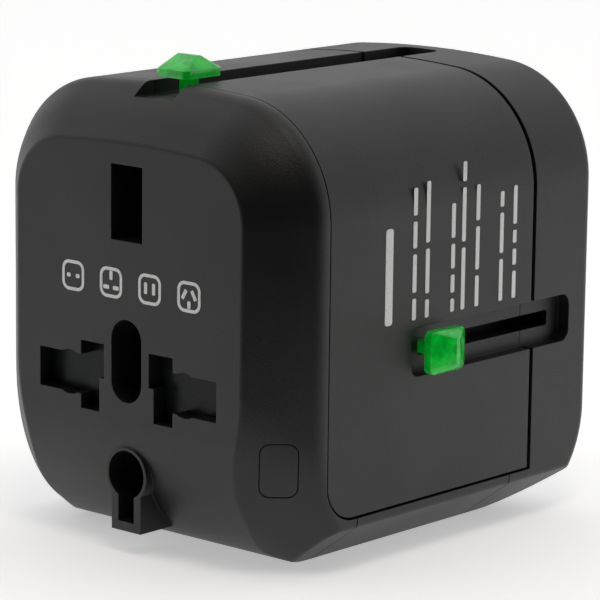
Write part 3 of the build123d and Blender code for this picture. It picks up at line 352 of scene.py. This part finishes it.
def pick_edges(piece, test):
    """Select the edges whose two ends pass a test, in edit mode."""
    bpy.ops.mesh.select_mode(type="EDGE")
    bpy.ops.mesh.select_all(action="DESELECT")
    bpy.ops.object.mode_set(mode="OBJECT")
    points = piece.data.vertices
    for edge in piece.data.edges:
        edge.select = all(test(points[i].co) for i in edge.vertices)
    bpy.ops.object.mode_set(mode="EDIT")


def copy_of(piece, name, turn):
    """A copy with its own mesh, its points moved by a matrix."""
    twin = piece.copy()
    twin.data = piece.data.copy()
    twin.name = name
    twin.data.name = name
    bpy.context.scene.collection.objects.link(twin)
    twin.data.transform(turn)
    if turn.determinant() < 0:
        twin.data.flip_normals()
    return twin


# ================================================================ thumb buttons
CAP_LONG = 6.4 * MM
CAP_WIDE = 5.2 * MM
CAP_BAND = 1.0 * MM
CAP_TOP = 2.6 * MM
CAP_RIDGE = (0.5 * MM, 3.4 * MM)
CAP_CORNER = 0.8 * MM
CAP_EASE = 0.2 * MM
CAP_SMOOTH = radians(32)
EASE_FROM = radians(24)
EASE_SEGMENTS = 3
CORNER_SEGMENTS = 5
NEAR_END = 0.49
STEM = (2.1 * MM, 1.45 * MM)
STEM_LONG = 5.8 * MM


def thumb_button(name, stem_long):
    """Chunky hip-roofed cap on a square stem, its base on z = 0 and its ridge across X."""
    clear_selection()
    size = (CAP_LONG, CAP_WIDE, CAP_BAND)
    bpy.ops.mesh.primitive_cube_add(size=1, location=(0, 0, CAP_BAND / 2), scale=size)
    piece = settle(take(name))
    bpy.ops.object.mode_set(mode="EDIT")
    far_x = CAP_LONG * NEAR_END
    far_y = CAP_WIDE * NEAR_END
    for side_x in (-1, 1):
        for side_y in (-1, 1):
            pick_edges(piece, lambda point: point.x * side_x > far_x and point.y * side_y > far_y)
            bpy.ops.mesh.bevel(offset=CAP_CORNER, segments=CORNER_SEGMENTS, affect="EDGES")
    pick_faces(piece, lambda middle, normal: normal.z > 0.9)
    bpy.ops.mesh.extrude_region_move(TRANSFORM_OT_translate={"value": (0, 0, CAP_TOP - CAP_BAND)})
    squeeze = (CAP_RIDGE[0] / CAP_LONG, CAP_RIDGE[1] / CAP_WIDE, 1)
    bpy.ops.transform.resize(value=squeeze, center_override=(0, 0, CAP_TOP))
    pick_faces(piece, lambda middle, normal: normal.z < -0.9)
    bpy.ops.mesh.inset(thickness=HAIR, depth=0)
    narrow = [stem / (cap - 2 * HAIR) for stem, cap in zip(STEM, (CAP_LONG, CAP_WIDE))]
    bpy.ops.transform.resize(value=(*narrow, 1), center_override=(0, 0, 0))
    bpy.ops.mesh.extrude_region_move(TRANSFORM_OT_translate={"value": (0, 0, -stem_long)})
    bpy.ops.object.mode_set(mode="OBJECT")
    ease = piece.modifiers.new("ease", "BEVEL")
    ease.limit_method = "ANGLE"
    ease.angle_limit = EASE_FROM
    ease.width = CAP_EASE
    ease.segments = EASE_SEGMENTS
    ease.use_clamp_overlap = True
    only(piece)
    bpy.ops.object.modifier_apply(modifier=ease.name)
    bpy.ops.object.shade_smooth_by_angle(angle=CAP_SMOOTH)
    return piece


def place_on(origin, along, outward):
    """Matrix that stands a piece at origin, its X along and its Z outward."""
    across = outward.cross(along)
    turn = Matrix((along, across, outward)).transposed().to_4x4()
    return Matrix.Translation(origin) @ turn


# each button's node: the body it rides on, and the way it faces
BUTTONS = {
    "eu_button": ("eu_plug", Vector((0, 0, 1))),
    "uk_button": ("uk_plug", Vector((-1, 0, 0))),
    "us_button": ("us_plug", Vector((1, 0, 0))),
}


def thumb_buttons():
    """The three buttons, each standing where its node's outer end is."""
    pattern = thumb_button("thumb_pattern", STEM_LONG)
    back = Vector((0, 1, 0))
    for node, (body, outward) in BUTTONS.items():
        low, high = (Vector(corner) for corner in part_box(node))
        middle = (low + high) / 2
        reach = max((low - middle).dot(outward), (high - middle).dot(outward))
        base = middle + outward * (reach - CAP_TOP)
        cap = copy_of(pattern, node + "_cap", place_on(base, back, outward))
        dress(cap, FINISHES["button_green"])
        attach(cap, body)
        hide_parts(node)
    bpy.data.objects.remove(pattern)


thumb_buttons()


# ================================================================ springs
# each spring's node: the joint that presses it, the end that stays put (0 lower, 1 upper), and how far it
# is pressed in millimetres
SPRINGS = {
    "shutter_spring_left": ("left_shutter_slide", 1, 9.4),
    "shutter_spring_right": ("right_shutter_slide", 1, 9.4),
    "latch_spring": ("latch_slide", 0, 1.0),
}


def shortening_springs():
    """Welded copies of the upright coils in spring steel, riding on the housing in place of the coils."""
    for node, (joint, still_end, stroke) in SPRINGS.items():
        coil = copy_of(NODES[node], node + "_coil", Matrix())
        only(coil)
        bpy.ops.object.mode_set(mode="EDIT")
        bpy.ops.mesh.select_all(action="SELECT")
        bpy.ops.mesh.remove_doubles(threshold=WELD)
        bpy.ops.object.mode_set(mode="OBJECT")
        dress(coil, FINISHES["spring_steel"])
        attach(coil, "housing")
        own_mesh(coil)
        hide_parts(node)


shortening_springs()


# ================================================================ printed marks
INK = 0.03 * MM
CORNER_SHARE = 0.3
BAR_SEGMENTS = 3
RING_SEGMENTS = 8
SIDE_FACE_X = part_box("upper_shell")[1][0]
SOCKET_FACE_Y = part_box("front_cover")[0][1]


def thicken(piece):
    """Push what is selected up by the ink's thickness and leave edit mode."""
    bpy.ops.mesh.extrude_region_move(TRANSFORM_OT_translate={"value": (0, 0, INK)})
    bpy.ops.mesh.select_all(action="SELECT")
    bpy.ops.mesh.normals_make_consistent(inside=False)
    bpy.ops.object.mode_set(mode="OBJECT")
    return piece


def ink_bar(name, length, width):
    """Flat bar of ink along X with rounded corners, its underside on z = 0."""
    clear_selection()
    bpy.ops.mesh.primitive_plane_add(size=1, location=(0, 0, 0))
    piece = take(name)
    piece.scale = (length, width, 1)
    settle(piece)
    bpy.ops.object.mode_set(mode="EDIT")
    bpy.ops.mesh.select_all(action="SELECT")
    corner = min(length, width) * CORNER_SHARE
    bpy.ops.mesh.bevel(offset=corner, segments=BAR_SEGMENTS, affect="VERTICES")
    return thicken(piece)


def ink_ring(name, size, line):
    """Rounded square outline of ink, its underside on z = 0."""
    clear_selection()
    bpy.ops.mesh.primitive_plane_add(size=size, location=(0, 0, 0))
    piece = settle(take(name))
    bpy.ops.object.mode_set(mode="EDIT")
    bpy.ops.mesh.select_all(action="SELECT")
    bpy.ops.mesh.bevel(offset=size * CORNER_SHARE, segments=RING_SEGMENTS, affect="VERTICES")
    bpy.ops.mesh.select_all(action="SELECT")
    bpy.ops.mesh.inset(thickness=line, depth=0)
    bpy.ops.mesh.delete(type="FACE")
    bpy.ops.mesh.select_all(action="SELECT")
    return thicken(piece)


def joined(name, pieces):
    """One printed mark made of several bars, riding on the housing."""
    clear_selection()
    for piece in pieces:
        piece.select_set(True)
    bpy.context.view_layer.objects.active = pieces[0]
    bpy.ops.object.join()
    whole = take(name)
    dress(whole, PRINT)
    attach(whole, BODY_OF_PRINT)
    return whole


def turned(piece, angle):
    """The piece turned about Z by an angle in degrees."""
    piece.data.transform(Matrix.Rotation(radians(angle), 4, "Z"))
    return piece


def shifted(piece, x, y):
    """The piece moved in its own plane."""
    piece.data.transform(Matrix.Translation((x, y, 0)))
    return piece


MARK = 3.7 * MM
MARK_LINE = 0.4 * MM
PIN = 0.62 * MM
PIN_WIDTH = 0.8 * PIN
MARK_STEP = 6.35 * MM
MARK_FIRST_X = -8.9 * MM
MARK_Z = 32.9 * MM


def pin_patterns():
    """Four small outlines with pin layouts: each pin's place, its length and its turn in degrees."""
    layouts = {
        "round_pins": [(-0.75, 0.0, PIN, 0), (0.75, 0.0, PIN, 0)],
        "square_pins": [(0.0, 0.85, 1.1 * MM, 90), (-0.8, -0.6, 0.95 * MM, 0), (0.8, -0.6, 0.95 * MM, 0)],
        "flat_pins": [(-0.65, 0.1, 1.4 * MM, 90), (0.65, 0.1, 1.4 * MM, 90)],
        "slanted_pins": [
            (-0.75, 0.25, 1.3 * MM, 60),
            (0.75, 0.25, 1.3 * MM, 120),
            (0.0, -0.95, 0.9 * MM, 90),
        ],
    }
    stand = place_on(Vector((0, SOCKET_FACE_Y, MARK_Z)), Vector((1, 0, 0)), Vector((0, -1, 0)))
    for index, (layout, pins) in enumerate(layouts.items()):
        pieces = [ink_ring(layout, MARK, MARK_LINE)]
        for x, z, length, angle in pins:
            bar = turned(ink_bar(layout + "_pin", length, PIN_WIDTH), angle)
            pieces.append(shifted(bar, x * MM, z * MM))
        mark = joined("print_" + layout, pieces)
        mark.data.transform(stand @ Matrix.Translation((MARK_FIRST_X + index * MARK_STEP, 0, 0)))


LINE_LOW_Z = 28.9 * MM
LINE_WIDTH = 0.72 * MM
HEADING_WIDTH = 1.35 * MM
WORD_GAP = 0.75 * MM
# each printed line: distance along the side, and the lengths of its dashes, all in millimetres
HEADING = (-10.7, (11.6,))
LINES = (
    (-6.0, (2.6, 4.6, 3.2, 3.3)),
    (-3.6, (2.2, 5.4, 7.4)),
    (1.2, (1.6, 2.2, 3.0, 4.2)),
    (3.2, (7.6, 6.6, 2.4)),
    (5.9, (3.8, 5.3, 4.4)),
    (10.6, (5.2, 5.0, 1.9)),
    (13.2, (3.4, 2.0, 1.6, 4.8)),
)


def side_lines():
    """Plain dashed lines up the right side, in place of printed instructions."""
    stand = place_on(Vector((SIDE_FACE_X, 0, LINE_LOW_Z)), Vector((0, 0, 1)), Vector((1, 0, 0)))
    rows = [(HEADING, HEADING_WIDTH)] + [(line, LINE_WIDTH) for line in LINES]
    for index, ((along, dashes), width) in enumerate(rows):
        pieces = []
        start = 0.0
        for dash in dashes:
            bar = ink_bar("dash", dash * MM, width)
            pieces.append(shifted(bar, start + dash * MM / 2, 0))
            start += dash * MM + WORD_GAP
        line = joined(f"print_line_{index}", pieces)
        line.data.transform(stand @ Matrix.Translation((0, -along * MM, 0)))


pin_patterns()
side_lines()


# ================================================================ light, floor and camera
def soft_panel(name, place, aim):
    """Small square softbox that faces a point."""
    lamp = bpy.data.lights.new(name, "AREA")
    lamp.shape = "RECTANGLE"
    lamp.size = PANEL_SIZE
    lamp.size_y = PANEL_SIZE
    lamp.energy = PANEL_POWER
    lamp.color = PANEL_WARM
    panel = bpy.data.objects.new(name, lamp)
    panel.location = place
    panel.rotation_euler = (aim - place).to_track_quat("-Z", "Y").to_euler()
    bpy.context.scene.collection.objects.link(panel)


CENTRE = (CAD_LOW + CAD_HIGH) / 2

VIEW_AZIMUTH = radians(41.27)
VIEW_ELEVATION = radians(11.36)
VIEW_ROLL = radians(0.70)
VIEW_DISTANCE = 0.4029
VIEW_LENS = 204.0
VIEW_TARGET = Vector((0.01527, -0.01544, 0.03133))

FLOOR_SIZE = 3.0
FLOOR_FRONT = 0.085
LENS_SIDE = (0.65, -0.74, 0.17)
TENT_WHITE = (1.0, 1.0, 1.0)
TENT_GLOW = 0.8
TENT_OPENING = 0.0
SKY_GLOW = 0.1
FLOOR_GLOW = 0.42
TENT_FADE = (-0.1, 0.75)
SKY_FROM = (0.25, 0.9)
PAPER = (0.93, 0.93, 0.93)
PAPER_PALE = (0.95, 0.95, 0.95)
PANEL_OFFSET = Vector((0.165, -0.12, 0.46))
PANEL_SIZE = 0.16
PANEL_POWER = 0.35
PANEL_WARM = (1.0, 0.9, 0.8)
SENSOR = 36.0


def light_tent():
    """White tent of light all round, dim where it opens towards the front right cheek."""
    world = bpy.data.worlds.new("light_tent")
    bpy.context.scene.world = world
    world.use_nodes = True
    tree = world.node_tree
    background = tree.nodes["Background"]
    background.inputs["Color"].default_value = (*TENT_WHITE, 1)
    facing = tree.nodes.new("ShaderNodeTexCoord")
    opening = tree.nodes.new("ShaderNodeVectorMath")
    opening.operation = "DOT_PRODUCT"
    opening.inputs[1].default_value = Vector(LENS_SIDE).normalized()
    ramp = tree.nodes.new("ShaderNodeMapRange")
    ramp.interpolation_type = "SMOOTHSTEP"
    for socket, value in zip(ramp.inputs[1:5], (*TENT_FADE, TENT_GLOW, TENT_OPENING)):
        socket.default_value = value
    height = tree.nodes.new("ShaderNodeSeparateXYZ")
    sky = tree.nodes.new("ShaderNodeMapRange")
    for socket, value in zip(sky.inputs[1:5], (*SKY_FROM, 0.0, SKY_GLOW)):
        socket.default_value = value
    total = tree.nodes.new("ShaderNodeMath")
    sight = tree.nodes.new("ShaderNodeLightPath")
    seen = tree.nodes.new("ShaderNodeMix")
    seen.inputs["B"].default_value = 1.0
    links = tree.links
    links.new(facing.outputs["Generated"], opening.inputs[0])
    links.new(opening.outputs["Value"], ramp.inputs["Value"])
    links.new(facing.outputs["Generated"], height.inputs[0])
    links.new(height.outputs["Z"], sky.inputs["Value"])
    links.new(ramp.outputs[0], total.inputs[0])
    links.new(sky.outputs[0], total.inputs[1])
    links.new(sight.outputs["Is Camera Ray"], seen.inputs["Factor"])
    links.new(total.outputs[0], seen.inputs["A"])
    links.new(seen.outputs[0], background.inputs["Strength"])


def studio():
    """Light all round, one small softbox and a white paper floor under the adapter."""
    bpy.context.scene.view_settings.view_transform = "Standard"
    light_tent()
    soft_panel("corner_panel", CENTRE + PANEL_OFFSET, CENTRE)
    away = Vector((-sin(VIEW_AZIMUTH), cos(VIEW_AZIMUTH), 0))
    spot = away * (FLOOR_SIZE / 2 - FLOOR_FRONT)
    bpy.ops.mesh.primitive_plane_add(size=FLOOR_SIZE, location=spot, rotation=(0, 0, VIEW_AZIMUTH))
    floor = bpy.context.object
    floor.name = "floor"
    sheet = Finish("white_paper", PAPER, 0.8)
    sheet.set("Emission Color", TENT_WHITE)
    sheet.set("Emission Strength", FLOOR_GLOW)
    tooth = sheet.noise(1.2, 3.0, 0.6)
    sheet.set("Base Color", sheet.blend(tooth, PAPER, PAPER_PALE))
    dress(floor, sheet.material)


def photographer():
    """Long-lens camera at the front right, a little above the adapter."""
    data = bpy.data.cameras.new("camera")
    data.lens = VIEW_LENS
    data.sensor_width = SENSOR
    data.clip_start = 0.01
    data.clip_end = 20.0
    camera = bpy.data.objects.new("camera", data)
    bpy.context.scene.collection.objects.link(camera)
    flat = cos(VIEW_ELEVATION)
    back = Vector((sin(VIEW_AZIMUTH) * flat, -cos(VIEW_AZIMUTH) * flat, sin(VIEW_ELEVATION)))
    level = Vector((cos(VIEW_AZIMUTH), sin(VIEW_AZIMUTH), 0))
    upright = back.cross(level)
    across = level * cos(VIEW_ROLL) + upright * sin(VIEW_ROLL)
    upwards = upright * cos(VIEW_ROLL) - level * sin(VIEW_ROLL)
    camera.rotation_mode = "QUATERNION"
    camera.rotation_quaternion = Matrix((across, upwards, back)).transposed().to_quaternion()
    camera.location = VIEW_TARGET + back * VIEW_DISTANCE
    bpy.context.scene.camera = camera


studio()
photographer()
